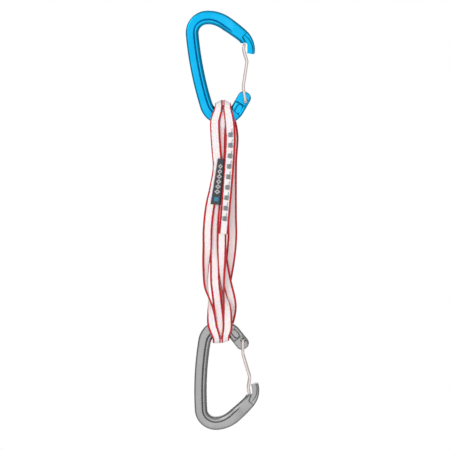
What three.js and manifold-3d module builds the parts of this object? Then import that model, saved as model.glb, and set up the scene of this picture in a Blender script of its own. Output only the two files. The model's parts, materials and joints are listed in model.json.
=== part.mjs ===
// Climbing quickdraw: two forged wire-gate carabiners joined by a tripled, sewn sling.
// Millimetres, +Z up. X runs from the spine to the gate, Y runs through the thickness and the
// front is -Y. The origin is the inner apex of the upper carabiner's basket, where it hangs.
import * as THREE from "three";
import { mergeVertices } from "three/addons/utils/BufferGeometryUtils.js";
import Module from "manifold-3d";

const wasm = await Module();
wasm.setup();
const { degToRad, lerp, smoothstep, clamp } = THREE.MathUtils;
const vec = (x, y, z) => new THREE.Vector3(x, y, z);

// ---- Carabiner: the outer edge is a chain of arcs that starts at the basket's apex ----
const CROWN_RADIUS = 30; // top of the basket
const CROWN_TO_NOSE = 34; // degrees the crown turns on the nose's side
const CROWN_TO_SPINE = 3; // degrees it turns on the spine's side
const TOP_BAR_RADIUS = 122;
const TOP_BAR_TURN = 8;
const NOSE_RADIUS = 20.7;
const NOSE_TURN = 58;
const SHOULDER_RADIUS = 17.5;
const SHOULDER_TURN = 92;
const SPINE_RADIUS = 273;
const SPINE_LENGTH = 59;
const NARROW_RADIUS = 19; // the end that holds the sling
const ARM_LEAN = 30; // degrees between the gate arm and the vertical
const ARM_LENGTH = 15.5;

// Depth of the bar, in the carabiner's plane, at its landmarks
const ARM_DEPTH = 11;
const NARROW_DEPTH = 11.4;
const SPINE_DEPTH = 10.4;
const BASKET_DEPTH = 10.9;
const TOP_BAR_DEPTH = 11.4;
const CHIN_DEPTH = 10.1;

// Forged section: a broad outer band, a groove and a thick, rounded inner flange
const RIM_HALF = 3.3; // half thicknesses, along Y
const WEB_HALF = 2.1; // at the groove's floor
const FLANGE_HALF = 3.75;
const PLAIN_HALF = 3.5; // where the groove has run out
const GATE_SEAT_HALF = 2.4; // thinned nose and arm end, which the gate's legs straddle
const BAND_FALL = 0.35; // the outer band slopes down towards the groove
const FLANGE_WIDTH = 3.7;
const FLANGE_TAPER = 1; // how much narrower it is where the groove runs out
const GROOVE_WIDTH = 0.8; // of its floor
const GROOVE_DRAFT = 0.5; // how far the groove's walls slope
const POCKET_RIM = 2.6; // outer band left beside the arm's pocket
const GROOVE_FADE = [1, 10]; // past the crown's end, where the groove starts and ends running out
const POCKET_LENGTH = 9; // short pocket beside the gate arm, before the long groove
const POCKET_FADE = 1.4;
const POCKET_GAP = 4; // between the pocket and the long groove
const STEP_LENGTH = 0.8; // slope of the steps down to the gate seats
const EDGE_ROUND = 1.3; // rounding of the outer rim
const ROPE_ROUND = 2.4; // rounding of the rope-bearing flange
const SEAT_ROUND = 1; // rounding of the thinned seats' inner edge
const ARM_END_ROUND = 4.6;
const NOSE_END_ROUND = 1.6;
const END_THINNING = 0.25; // share of its thickness that a rounded end loses
const BAR_STEP = 3.4; // length of a facet along the bar

// Nose and gate
const FINGER_DEPTH = 6.2; // nose finger, outside the gate
const FINGER_LENGTH = 11.5; // from the chin to the nose's end
const NOTCH_RADIUS = 2.1; // pocket for the gate's crossbar
const NOTCH_INSET = 1.5; // of its centre, from the finger's inner side
const CROSSBAR_REST = [-0.5, 0.3]; // where the shut crossbar lies in its notch
const SWEEP_TURN = 18; // degrees that the crossbar turns before it is clear of the nose
const NOSE_SEAT_BEFORE_CHIN = 4.4;
const GATE_SEAT_LENGTH = 10; // thinned stretch of the arm's end
const PIVOT_FROM_END = 6.8; // gate pivot, along the arm
const PIVOT_DEPTH = 3.4; // and in from the arm's outer edge
const ARM_RIM_WIDTH = 1.4; // rim beside the gate's legs
const NOSE_RIM_WIDTH = 2.2;
const WIRE_DIAMETER = 2.4;
const GATE_CLEARANCE = 0.3;
const PIN_GAP = 0.8; // between the wire's two ends, inside the arm
const WIRE_BEND = 2; // bending radius of the wire
const WIRE_SIDES = 8;
const WIRE_STEPS = 110;
// The gate's legs: share of the way from pivot to crossbar, and offset out of the window
const LEG_KINKS = [
  [0.17, -1],
  [0.26, -1.5],
  [0.71, 2],
  [0.78, 1.1],
  [0.92, -0.7],
];

// ---- Sling: one ribbon, tripled between the narrow ends of the two carabiners ----
const HANG_LENGTH = 196.6; // between the centres of the two narrow ends
const HANG_DRIFT = -1.4; // sideways, from upper to lower
const LOWER_TILT = 8.2; // degrees, as the lower carabiner hangs
const WEBBING_WIDTH = 8;
const WEBBING_THICKNESS = 1.8;
const RIBBON_STEP = 5.5;
const BIGHT_GATHER = 0.8; // share of its width the webbing keeps where it gathers on a bar
const BIGHT_CLEARANCE = 0.45;
const BIGHT_ANGLES = [15, 50, 90, 130, 165]; // degrees round the bar
const LAYER_GAP = 0.4; // between layers of webbing
const END_SHARE = 0.2; // share of each strand that passes a bar
const END_BELOW_BAR = 20.3; // and how far that share reaches past the bar's outer edge

// ---- Splice: bar tacks and the label under its edge ----
const TACK_COUNT = 9;
const TACK_PITCH = 8.4;
const FIRST_TACK = 12.4; // from the free end of the splice's upper layer
const TACK_WIDTH = 4;
const TACK_HEIGHT = 3;
const TACK_THICKNESS = 0.5;
const SEWN_GAP = 0.25;
const LABEL_START = 23; // from the same free end
const LABEL_LENGTH = 37;
const LABEL_WIDE = 8.3;
const LABEL_NARROW = 5.5;
const LABEL_THICKNESS = 0.5;
const LABEL_SETBACK = 0.6; // behind the middle of the webbing that holds it

// ---- Materials ----
const metal = (color, roughness) => new THREE.MeshStandardMaterial({ color, roughness, metalness: 1 });
const cloth = (color, roughness) => new THREE.MeshStandardMaterial({ color, roughness, metalness: 0 });
const BLUE_ANODISED = metal("#0fa6e0", 0.38);
const GREY_ANODISED = metal("#85888a", 0.42);
const STAINLESS_WIRE = metal("#d8cfcc", 0.35);
const WHITE_WEBBING = cloth("#efe3e3", 0.85);
const TACK_THREAD = cloth("#8f9296", 0.8);
const LABEL_WEAVE = cloth("#34373c", 0.8);

// ---------------------------------------------------------------- general shapes

// A closed skin over rings of points; each ring runs the same way round, and the ends are fans.
function loft(rings) {
  const count = rings[0].length;
  const points = rings.flat();
  const faces = [];
  for (let i = 0; i + 1 < rings.length; i++) {
    for (let j = 0; j < count; j++) {
      const a = i * count + j;
      const b = i * count + ((j + 1) % count);
      faces.push(a, b, b + count, a, b + count, a + count);
    }
  }
  [0, rings.length - 1].forEach((ring, last) => {
    const middle = points.length;
    points.push(rings[ring].reduce((sum, p) => sum.add(p), vec(0, 0, 0)).divideScalar(count));
    for (let j = 0; j < count; j++) {
      const a = ring * count + j;
      const b = ring * count + ((j + 1) % count);
      faces.push(...(last ? [a, b, middle] : [b, a, middle]));
    }
  });
  const skin = new THREE.BufferGeometry().setFromPoints(points);
  skin.setIndex(faces);
  return skin;
}

// A flat outline in the XZ plane, extruded both ways along Y.
function plate(outline, halfThickness) {
  const shape = new THREE.Shape(outline);
  const slab = new THREE.ExtrudeGeometry(shape, { depth: 2 * halfThickness, bevelEnabled: false });
  return slab.rotateX(Math.PI / 2).translate(0, halfThickness, 0);
}

function solidOf(geometry) {
  const bare = new THREE.BufferGeometry();
  bare.setAttribute("position", geometry.getAttribute("position"));
  bare.setIndex(geometry.index);
  const merged = mergeVertices(bare, 1e-4);
  const vertProperties = merged.getAttribute("position").array;
  const triVerts = new Uint32Array(merged.index.array);
  return new wasm.Manifold(new wasm.Mesh({ numProp: 3, vertProperties, triVerts }));
}

function geometryOf(solid) {
  const { vertProperties, triVerts } = solid.getMesh();
  const geometry = new THREE.BufferGeometry();
  geometry.setAttribute("position", new THREE.BufferAttribute(vertProperties, 3));
  return geometry.setIndex(new THREE.BufferAttribute(triVerts, 1));
}

function node(name, geometry, material) {
  const mesh = new THREE.Mesh(geometry, material);
  mesh.name = name;
  return mesh;
}

// ---------------------------------------------------------------- carabiner body

// Points along an arc that leaves `start` at `heading` and turns left (+1) or right (-1).
function arc(start, heading, radius, turn, side) {
  const toRight = (h) => new THREE.Vector2(Math.sin(h), -Math.cos(h));
  const centre = start.clone().addScaledVector(toRight(heading), -side * radius);
  const at = (angle) => {
    const h = heading + side * angle;
    return { h, p: centre.clone().addScaledVector(toRight(h), side * radius) };
  };
  return { at, centre, turn, length: radius * turn };
}

// The outer edge, from the gate arm's end round the narrow end, spine and basket to the nose.
function outerEdge() {
  const apex = new THREE.Vector2(0, BASKET_DEPTH);
  const spineTurn = SPINE_LENGTH / SPINE_RADIUS;
  const armHeading = degToRad(450 - ARM_LEAN);
  const narrowTurn = armHeading - Math.PI - degToRad(CROWN_TO_SPINE + SHOULDER_TURN) - spineTurn;
  const toNose = [
    [CROWN_RADIUS, degToRad(CROWN_TO_NOSE)],
    [TOP_BAR_RADIUS, degToRad(TOP_BAR_TURN)],
    [NOSE_RADIUS, degToRad(NOSE_TURN)],
  ];
  const toArm = [
    [CROWN_RADIUS, degToRad(CROWN_TO_SPINE)],
    [SHOULDER_RADIUS, degToRad(SHOULDER_TURN)],
    [SPINE_RADIUS, spineTurn],
    [NARROW_RADIUS, narrowTurn],
  ];
  const chain = (parts, heading, side) => {
    let end = { p: apex, h: heading };
    return parts.map(([radius, turn]) => {
      const piece = arc(end.p, end.h, radius, turn, side);
      end = piece.at(turn);
      return { ...piece, end };
    });
  };
  return { left: chain(toArm, Math.PI, 1), right: chain(toNose, 0, -1) };
}

const EDGE = outerEdge();
const NARROW_CENTRE = EDGE.left.at(-1).centre;
const LEFT_LENGTHS = EDGE.left.map((piece) => piece.length);
const RIGHT_LENGTHS = EDGE.right.map((piece) => piece.length);
const sum = (list) => list.reduce((total, value) => total + value, 0);
// Distances along the edge, from the arm's end
const NARROW_START = ARM_LENGTH;
const NARROW_END = NARROW_START + LEFT_LENGTHS[3];
const SPINE_END = NARROW_END + LEFT_LENGTHS[2];
const APEX = ARM_LENGTH + sum(LEFT_LENGTHS);
const CROWN_END = APEX + RIGHT_LENGTHS[0];
const EDGE_LENGTH = APEX + sum(RIGHT_LENGTHS);
const CHIN = EDGE_LENGTH - FINGER_LENGTH;
const NOSE_SEAT_START = CHIN - NOSE_SEAT_BEFORE_CHIN;
const POCKET_START = GATE_SEAT_LENGTH + STEP_LENGTH;
const POCKET_END = POCKET_START + POCKET_LENGTH;
const LONG_GROOVE_START = POCKET_END + POCKET_GAP;

// Which piece of a chain of arcs holds the point `rest` along it, and how far into the piece.
function pieceAt(lengths, rest) {
  let i = 0;
  while (i + 1 < lengths.length && rest > lengths[i]) {
    rest -= lengths[i];
    i += 1;
  }
  return [i, rest];
}

// The edge's point at a distance, with its inward normal.
function edgeAt(distance) {
  const onRight = distance >= APEX;
  const chain = onRight ? EDGE.right : EDGE.left;
  const [i, rest] = pieceAt(onRight ? RIGHT_LENGTHS : LEFT_LENGTHS, Math.abs(distance - APEX));
  const past = Math.max(rest - chain[i].length, 0);
  const { p, h } = chain[i].at(((rest - past) / chain[i].length) * chain[i].turn);
  const straight = new THREE.Vector2(Math.cos(h), Math.sin(h)).multiplyScalar(past);
  const side = onRight ? 1 : -1;
  const inward = new THREE.Vector2(side * Math.sin(h), -side * Math.cos(h));
  return { p: p.clone().add(straight), inward };
}

// A point at a distance along the edge and a depth into the bar, in the XZ plane.
function inBar(distance, depth) {
  const { p, inward } = edgeAt(distance);
  return p.clone().addScaledVector(inward, depth);
}

function between(distance, table) {
  const next = table.findIndex(([at]) => at >= distance);
  if (next < 0) return table.at(-1)[1];
  if (next === 0) return table[0][1];
  const [a, low] = table[next - 1];
  const [b, high] = table[next];
  return lerp(low, high, smoothstep(distance, a, b));
}

const depthAt = (distance) =>
  between(distance, [
    [NARROW_START, ARM_DEPTH],
    [(NARROW_START + NARROW_END) / 2, NARROW_DEPTH],
    [NARROW_END + 8, SPINE_DEPTH],
    [SPINE_END, SPINE_DEPTH],
    [APEX, BASKET_DEPTH],
    [CROWN_END, TOP_BAR_DEPTH],
    [CHIN - 2, CHIN_DEPTH],
  ]);

// How deep the groove is, from 0 to 1: a pocket on the arm, then the long groove to the basket
const grooveAt = (distance) =>
  between(distance, [
    [POCKET_START, 0],
    [POCKET_START + POCKET_FADE, 1],
    [POCKET_END - POCKET_FADE, 1],
    [POCKET_END, 0],
    [LONG_GROOVE_START, 0],
    [LONG_GROOVE_START + POCKET_FADE * 3, 1],
    [CROWN_END + GROOVE_FADE[0], 1],
    [CROWN_END + GROOVE_FADE[1], 0],
  ]);

const flangeAt = (distance) =>
  between(distance, [
    [APEX, FLANGE_WIDTH],
    [CROWN_END + GROOVE_FADE[1], FLANGE_WIDTH - FLANGE_TAPER],
  ]);

// Where the groove widens into the arm's pocket
const pocketAt = (distance) =>
  between(distance, [
    [POCKET_END, 1],
    [LONG_GROOVE_START, 0],
  ]);

const seatAt = (distance) =>
  between(distance, [
    [GATE_SEAT_LENGTH, 1],
    [GATE_SEAT_LENGTH + STEP_LENGTH, 0],
    [NOSE_SEAT_START, 0],
    [NOSE_SEAT_START + STEP_LENGTH, 1],
  ]);

// How far a rounded end has drawn in from both edges of the bar.
function endInset(distance) {
  const fromArm = ARM_END_ROUND - distance;
  const fromNose = NOSE_END_ROUND - (EDGE_LENGTH - distance);
  const [past, radius] = fromArm > 0 ? [fromArm, ARM_END_ROUND] : [fromNose, NOSE_END_ROUND];
  return past > 0 ? radius - Math.sqrt(Math.max(radius ** 2 - past ** 2, 0)) : 0;
}

// One ring of the forged section: [depth, half thickness] pairs from outer to inner edge.
function sectionAt(distance) {
  const depth = depthAt(distance);
  const groove = grooveAt(distance);
  const seat = seatAt(distance);
  const rim = lerp(lerp(PLAIN_HALF, RIM_HALF, groove), RIM_HALF, seat);
  const web = lerp(lerp(PLAIN_HALF, WEB_HALF, groove), GATE_SEAT_HALF, seat);
  const flange = lerp(lerp(PLAIN_HALF, FLANGE_HALF, groove), GATE_SEAT_HALF, seat);
  const wall = depth - flangeAt(distance);
  const besideGroove = lerp(wall - GROOVE_WIDTH - 2 * GROOVE_DRAFT, POCKET_RIM, pocketAt(distance));
  const seatRim = distance < APEX ? ARM_RIM_WIDTH : NOSE_RIM_WIDTH;
  const bandEnd = lerp(besideGroove, seatRim, seat);
  const round = lerp(ROPE_ROUND, SEAT_ROUND, seat);
  return [
    [0, rim - EDGE_ROUND * 1.6],
    [EDGE_ROUND * 0.3, rim - EDGE_ROUND * 0.6],
    [Math.min(EDGE_ROUND, seatRim * 0.85), rim],
    [bandEnd, lerp(rim - BAND_FALL * groove, rim, seat)],
    [bandEnd + GROOVE_DRAFT, web],
    [wall - GROOVE_DRAFT, web],
    [wall, flange],
    [depth - round, flange],
    [depth - round * 0.3, flange * 0.8],
    [depth, flange * 0.4],
  ];
}

function bodyRing(distance) {
  const { p, inward } = edgeAt(distance);
  const inset = endInset(distance);
  const depth = depthAt(distance);
  const squeeze = 1 - (2 * inset) / depth;
  const thin = 1 - (END_THINNING * inset) / ARM_END_ROUND;
  const place = ([u, v], side) => {
    const q = p.clone().addScaledVector(inward, inset + u * squeeze);
    return vec(q.x, side * v * thin, q.y);
  };
  const half = sectionAt(distance);
  return [...half.map((c) => place(c, -1)), ...half.reverse().map((c) => place(c, 1))];
}

// Stations are even along the bar, and closer where an end rounds off or a step begins.
function stations() {
  const armEnd = [0.03, 0.13, 0.3, 0.57, 1].map((share) => ARM_END_ROUND * share);
  const noseEnd = [1, 0.44, 0.06].map((share) => EDGE_LENGTH - NOSE_END_ROUND * share);
  const seats = [GATE_SEAT_LENGTH, POCKET_START, NOSE_SEAT_START, NOSE_SEAT_START + STEP_LENGTH, CHIN];
  const pocket = [POCKET_START + POCKET_FADE, NARROW_START, POCKET_END - POCKET_FADE, POCKET_END];
  const finger = [0.35, 0.7].map((share) => lerp(CHIN, EDGE_LENGTH - NOSE_END_ROUND, share));
  const count = Math.ceil((NOSE_SEAT_START - POCKET_END) / BAR_STEP);
  const even = [];
  for (let i = 1; i < count; i++) even.push(lerp(POCKET_END, NOSE_SEAT_START, i / count));
  return [...armEnd, ...seats, ...pocket, ...even, ...finger, ...noseEnd].sort((a, b) => a - b);
}

// Everything between the nose finger and the window, below the chin.
function gateSlot() {
  const past = EDGE_LENGTH + NOSE_END_ROUND;
  const reach = CHIN_DEPTH + FINGER_DEPTH;
  const inner = [];
  for (let i = 0; i <= 6; i++) inner.push(inBar(lerp(CHIN, past, i / 6), FINGER_DEPTH));
  const outside = [inBar(past, reach), inBar(CHIN, reach)];
  return plate([...inner, ...outside].reverse(), 1.5 * FLANGE_HALF);
}

const NOTCH = inBar(CHIN + NOTCH_RADIUS, FINGER_DEPTH + NOTCH_INSET);
const CROSSBAR = NOTCH.clone().add(new THREE.Vector2(...CROSSBAR_REST));
const PIVOT = inBar(PIVOT_FROM_END, PIVOT_DEPTH);

// The way out of the notch, which the crossbar swings through as the gate opens.
function crossbarSweep() {
  const arm = CROSSBAR.clone().sub(PIVOT);
  const room = WIRE_DIAMETER / 2 + GATE_CLEARANCE;
  const swung = (reach, share) => {
    const angle = arm.angle() + degToRad(SWEEP_TURN) * share;
    return PIVOT.clone().add(new THREE.Vector2(Math.cos(angle), Math.sin(angle)).multiplyScalar(reach));
  };
  const shares = [0, 0.2, 0.4, 0.6, 0.8, 1];
  const far = shares.map((share) => swung(arm.length() + room, share));
  const near = shares.map((share) => swung(arm.length() - room, share));
  return plate([...far, ...near.reverse()], 1.5 * FLANGE_HALF);
}

function crossHole(centre, radius, sides) {
  const bore = new THREE.CylinderGeometry(radius, radius, 4 * FLANGE_HALF, sides);
  return bore.translate(centre.x, 0, centre.y);
}

function carabinerBody() {
  const bar = solidOf(loft(stations().map(bodyRing)));
  const pinHole = WIRE_DIAMETER / 2 + GATE_CLEARANCE;
  return geometryOf(
    bar
      .subtract(solidOf(gateSlot()))
      .subtract(solidOf(crossbarSweep()))
      .subtract(solidOf(crossHole(NOTCH, NOTCH_RADIUS, 20)))
      .subtract(solidOf(crossHole(PIVOT, pinHole, 16))),
  );
}

// ---------------------------------------------------------------- wire gate

// The gate's leg in the XZ plane, from the pivot to the crossbar.
function legPoints() {
  const along = CROSSBAR.clone().sub(PIVOT);
  const out = new THREE.Vector2(along.y, -along.x).normalize();
  const at = ([share, offset]) => PIVOT.clone().addScaledVector(along, share).addScaledVector(out, offset);
  return [PIVOT, ...LEG_KINKS.map(at), CROSSBAR];
}

// A path through corner points whose corners are rounded.
function bentPath(corners, radius) {
  const points = [corners[0]];
  for (let i = 1; i + 1 < corners.length; i++) {
    const [before, corner, after] = [corners[i - 1], corners[i], corners[i + 1]];
    const cut = Math.min(radius, 0.45 * corner.distanceTo(before), 0.45 * corner.distanceTo(after));
    const enter = corner.clone().lerp(before, cut / corner.distanceTo(before));
    const leave = corner.clone().lerp(after, cut / corner.distanceTo(after));
    const bend = new THREE.QuadraticBezierCurve3(enter, corner, leave);
    points.push(...bend.getPoints(4));
  }
  points.push(corners.at(-1));
  return new THREE.CatmullRomCurve3(points, false, "centripetal");
}

function wireGate() {
  const legs = legPoints();
  const half = GATE_SEAT_HALF + GATE_CLEARANCE + WIRE_DIAMETER / 2;
  const at = (p, y) => vec(p.x, y, p.y);
  const front = legs.map((p) => at(p, -half));
  const back = legs.map((p) => at(p, half)).reverse();
  const corners = [at(PIVOT, -PIN_GAP / 2), ...front, ...back, at(PIVOT, PIN_GAP / 2)];
  const circle = new THREE.EllipseCurve(0, 0, WIRE_DIAMETER / 2, WIRE_DIAMETER / 2);
  const section = new THREE.Shape(circle.getPoints(WIRE_SIDES).slice(0, WIRE_SIDES));
  const extrudePath = bentPath(corners, WIRE_BEND);
  return new THREE.ExtrudeGeometry(section, { steps: WIRE_STEPS, extrudePath, bevelEnabled: false });
}

function carabiner(prefix, finish) {
  const group = new THREE.Group();
  group.add(node(prefix + "_carabiner_body", carabinerBody(), finish));
  group.add(node(prefix + "_wire_gate", wireGate(), STAINLESS_WIRE));
  return group;
}

const upper = carabiner("upper", BLUE_ANODISED);

// The lower carabiner is the same one upside down, hung by its narrow end.
const UPPER_HANG = vec(NARROW_CENTRE.x, 0, NARROW_CENTRE.y);
const LOWER_HANG = UPPER_HANG.clone().add(vec(HANG_DRIFT, 0, -HANG_LENGTH));
const lower = carabiner("lower", GREY_ANODISED);
lower.rotation.set(Math.PI, -degToRad(LOWER_TILT), 0, "YXZ");
lower.position.copy(LOWER_HANG).sub(UPPER_HANG.clone().applyEuler(lower.rotation));

// ---------------------------------------------------------------- sling

// Out from the middle plane, in layers of webbing, where the bights leave a bar
const LAYER = WEBBING_THICKNESS + LAYER_GAP;
const MIDDLE = (FLANGE_HALF + WEBBING_THICKNESS / 2 + BIGHT_CLEARANCE) / LAYER;
const SIDE = MIDDLE + 1;

// Hand-chosen route of each strand, from the upper to the lower carabiner:
// [share of the way down, X from the line between the hangs, layers behind the middle plane,
// turn of the width in degrees].
const STRANDS = {
  spliceTop: [
    [0.08, 5.4, -SIDE, 0],
    [0.14, 6.3, -3.09, 0],
    [0.2, 6.1, -3.05, 0],
    [0.3, 4.9, -2.95, 0],
    [0.4, 3.3, -2.91, 0],
    [0.47, 2.2, -2.86, 0],
    [0.54, 1.1, -2.82, 0],
  ],
  spliceBase: [
    [0.13, 6.1, -2.14, 0],
    [0.2, 5.5, -2.09, 0],
    [0.3, 4, -2, 0],
    [0.4, 1.8, -1.95, 0],
    [0.47, 0.3, -1.91, 0],
    [0.56, -0.3, -1.91, 0],
    [0.64, 0, -1.95, -25],
    [0.72, 0.6, -1.95, -62],
    [0.79, 2, -1.73, -96],
    [0.84, 4.1, -2.09, -142],
    [0.89, 4.8, -3, -172],
    [0.93, 4.9, -SIDE, -180],
  ],
  frontLeft: [
    [0.08, -6, -SIDE, 0],
    [0.13, -5.9, -2.59, 0],
    [0.2, -4.9, -2, 0],
    [0.27, -3.9, -1.91, 0],
    [0.35, -6.4, -1.91, 0],
    [0.43, -9.8, -1.91, 0],
    [0.52, -11.6, -1.91, 0],
    [0.6, -11.9, -1.86, 20],
    [0.68, -13, -1.73, 52],
    [0.76, -12.6, -1.64, 72],
    [0.82, -9.6, -1.73, 104],
    [0.87, -8.2, -2.45, 146],
    [0.92, -7.2, -SIDE, 180],
  ],
  frontMiddle: [
    [0.095, -0.6, -MIDDLE, 0],
    [0.12, -1.2, -1.27, 0],
    [0.145, -1.4, -0.95, 0],
    [0.25, -1.8, -0.91, 0],
    [0.35, -3, -0.91, 0],
    [0.45, -4.6, -0.91, 0],
    [0.54, -5.4, -0.73, 0],
    [0.61, -5.8, -0.14, 0],
    [0.68, -5.6, 0, 0],
    [0.74, -5.4, 0, 0],
    [0.8, -4, -0.55, 0],
    [0.85, -2.8, -1.36, 0],
    [0.9, -1.6, -MIDDLE, 0],
  ],
  backRightToLeft: [
    [0.08, 6.5, SIDE, 0],
    [0.14, 8.7, 3.09, 0],
    [0.25, 7.8, 3, 0],
    [0.47, 8, 3, 0],
    [0.55, 8.4, 3, 0],
    [0.61, 7.8, 3, 0],
    [0.66, 6.7, 3, 0],
    [0.7, 5.5, 3, 0],
    [0.76, 3.3, 3, 0],
    [0.84, -0.8, 3.05, 0],
    [0.89, -3.4, 3.14, 0],
    [0.93, -4.2, SIDE, 0],
  ],
  backLeftToMiddle: [
    [0.08, -4.6, SIDE, 0],
    [0.12, -4.6, 3.14, 0],
    [0.16, -4.4, 2.45, 0],
    [0.2, -3.8, 2.05, 0],
    [0.28, -2.8, 2, 0],
    [0.36, -3.6, 2, 0],
    [0.45, -5, 2, 0],
    [0.55, -6, 2, 0],
    [0.65, -5.4, 2, 0],
    [0.75, -3.2, 2, 0],
    [0.84, -0.8, 2.09, 0],
    [0.9, 0, MIDDLE, 0],
  ],
  backMiddleToRight: [
    [0.1, 0, MIDDLE, 0],
    [0.14, -0.4, 1.36, 0],
    [0.18, -0.8, 1.05, 0],
    [0.3, -2.4, 1, 0],
    [0.45, -2.6, 1, 0],
    [0.58, -1.2, 1, 0],
    [0.67, 1.4, 1, 0],
    [0.74, 4, 1, 0],
    [0.81, 7.4, 1.05, 0],
    [0.845, 8.4, 2, 0],
    [0.88, 8, 3.14, 0],
    [0.93, 5.6, SIDE, 0],
  ],
};

// Where the three bights cross each bar: [X from the narrow end's centre, height over the bar's
// inner edge, tilt in degrees with the right edge towards the window]
const BIGHTS = {
  upper: { left: [-3.5, 7.1, 14], middle: [0.2, 3.6, 0], right: [3.7, 7, -16] },
  lower: { left: [-3.7, 6.8, -4], middle: [0.2, 3.6, 0], right: [3.7, 6.8, 0] },
};

// Distance below the upper hang: the stretches that pass the bars keep their length.
function belowHang(share) {
  const end = NARROW_RADIUS + END_BELOW_BAR;
  if (share < END_SHARE) return (share / END_SHARE) * end;
  if (share > 1 - END_SHARE) return HANG_LENGTH - ((1 - share) / END_SHARE) * end;
  return lerp(end, HANG_LENGTH - end, (share - END_SHARE) / (1 - 2 * END_SHARE));
}

// `face` is 1 where the ribbon's width runs towards +X at the strand's top, and -1 after a half turn.
function strand(name, face, upwards = false) {
  const points = STRANDS[name].map(([share, x, layers, turn]) => {
    const p = UPPER_HANG.clone().lerp(LOWER_HANG, belowHang(share) / HANG_LENGTH);
    const w = vec(Math.cos(degToRad(turn)), Math.sin(degToRad(turn)), 0).multiplyScalar(face);
    return { p: p.add(vec(x, layers * LAYER, 0)), w, gather: 1 };
  });
  return upwards ? points.reverse() : points;
}

// A bight goes over its bar from front to back at the top, and back to front at the bottom.
// The two side bights lie over the middle one.
function bight(name, carabinerEnd, face) {
  const [x, height, tilt] = BIGHTS[carabinerEnd][name];
  const radius = (name === "middle" ? MIDDLE : SIDE) * LAYER;
  const top = carabinerEnd === "upper";
  const up = top ? 1 : -1;
  const spin = new THREE.Euler(0, top ? 0 : -degToRad(LOWER_TILT), 0);
  const z = height - (NARROW_RADIUS - NARROW_DEPTH);
  const crest = vec(x, 0, up * z).applyEuler(spin).add(top ? UPPER_HANG : LOWER_HANG);
  const across = vec(Math.cos(degToRad(tilt)), 0, up * Math.sin(degToRad(tilt)));
  const w = across.multiplyScalar(face).applyEuler(spin);
  return BIGHT_ANGLES.map(degToRad).map((angle) => {
    const round = vec(0, -up * radius * Math.cos(angle), up * radius * (Math.sin(angle) - 1));
    return { p: crest.clone().add(round), w, gather: BIGHT_GATHER };
  });
}

// The whole ribbon, from the free end of the splice's upper layer to that of its base layer.
function ribbonRoute() {
  return [
    ...strand("spliceTop", 1, true),
    ...bight("right", "upper", 1),
    ...strand("backRightToLeft", 1),
    ...bight("left", "lower", 1),
    ...strand("frontLeft", -1, true),
    ...bight("left", "upper", -1),
    ...strand("backLeftToMiddle", -1),
    ...bight("middle", "lower", -1),
    ...strand("frontMiddle", -1, true),
    ...bight("middle", "upper", -1),
    ...strand("backMiddleToRight", -1),
    ...bight("right", "lower", -1),
    ...strand("spliceBase", 1, true),
  ];
}

// Even frames along the ribbon: place, tangent, width and front-facing normal.
function ribbonFrames() {
  const route = ribbonRoute();
  const curve = (points, kind) => new THREE.CatmullRomCurve3(points, false, kind);
  const path = curve(route.map(({ p }) => p), "centripetal");
  const widths = curve(route.map(({ w }) => w), "catmullrom");
  const gathers = curve(route.map(({ gather }) => vec(gather, 0, 0)), "catmullrom");
  path.arcLengthDivisions = 4000;
  const length = path.getLength();
  return (distance) => {
    const u = clamp(distance / length, 0, 1);
    const t = path.getTangentAt(u);
    const share = path.getUtoTmapping(u);
    const w = widths.getPoint(share);
    w.addScaledVector(t, -w.dot(t)).normalize();
    const n = t.clone().cross(w);
    return { p: path.getPointAt(u), t, w, n, gather: gathers.getPoint(share).x, length };
  };
}

const frameAt = ribbonFrames();
const RIBBON_LENGTH = frameAt(0).length;

// A rectangle in a ribbon frame: across the width from `left` to `right`, `low` to `high` out.
function strip(distance, left, right, low, high) {
  const { p, w, n, gather } = frameAt(distance);
  const corner = (across, out) => p.clone().addScaledVector(w, across * gather).addScaledVector(n, out);
  return [corner(left, low), corner(right, low), corner(right, high), corner(left, high)];
}

function slingWebbing() {
  const half = WEBBING_WIDTH / 2;
  const thick = WEBBING_THICKNESS / 2;
  const count = Math.round(RIBBON_LENGTH / RIBBON_STEP);
  const rings = [];
  for (let i = 0; i <= count; i++) {
    rings.push(strip((i / count) * RIBBON_LENGTH, -half, half, -thick, thick));
  }
  return loft(rings);
}

// ---------------------------------------------------------------- splice details

function barTack(index) {
  const { p, t, w, n } = frameAt(FIRST_TACK + (TACK_COUNT - 1 - index) * TACK_PITCH);
  const out = WEBBING_THICKNESS / 2 + SEWN_GAP + TACK_THICKNESS / 2;
  const pad = new THREE.BoxGeometry(TACK_WIDTH, TACK_HEIGHT, TACK_THICKNESS);
  const front = n.clone().multiplyScalar(Math.sign(-n.y));
  pad.applyMatrix4(new THREE.Matrix4().makeBasis(w, t, w.clone().cross(t)));
  const at = p.clone().addScaledVector(front, out);
  return pad.translate(at.x, at.y, at.z);
}

function slingLabel() {
  const edge = WEBBING_WIDTH / 2 + SEWN_GAP;
  const rings = [];
  const count = 8;
  for (let i = 0; i <= count; i++) {
    const distance = LABEL_START + (i / count) * LABEL_LENGTH;
    const wide = lerp(LABEL_WIDE, LABEL_NARROW, i / count);
    const { n } = frameAt(distance);
    const front = Math.sign(-n.y);
    const low = -front * LABEL_SETBACK - LABEL_THICKNESS / 2;
    rings.push(strip(distance, -edge - wide, -edge, low, low + LABEL_THICKNESS));
  }
  return loft(rings);
}

const quickdraw = new THREE.Group();
quickdraw.add(upper, lower);
quickdraw.add(node("sling_webbing", slingWebbing(), WHITE_WEBBING));
quickdraw.add(node("sling_label", slingLabel(), LABEL_WEAVE));
for (let i = 0; i < TACK_COUNT; i++) {
  quickdraw.add(node("bar_tack_" + (i + 1), barTack(i), TACK_THREAD));
}

export default quickdraw;
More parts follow.
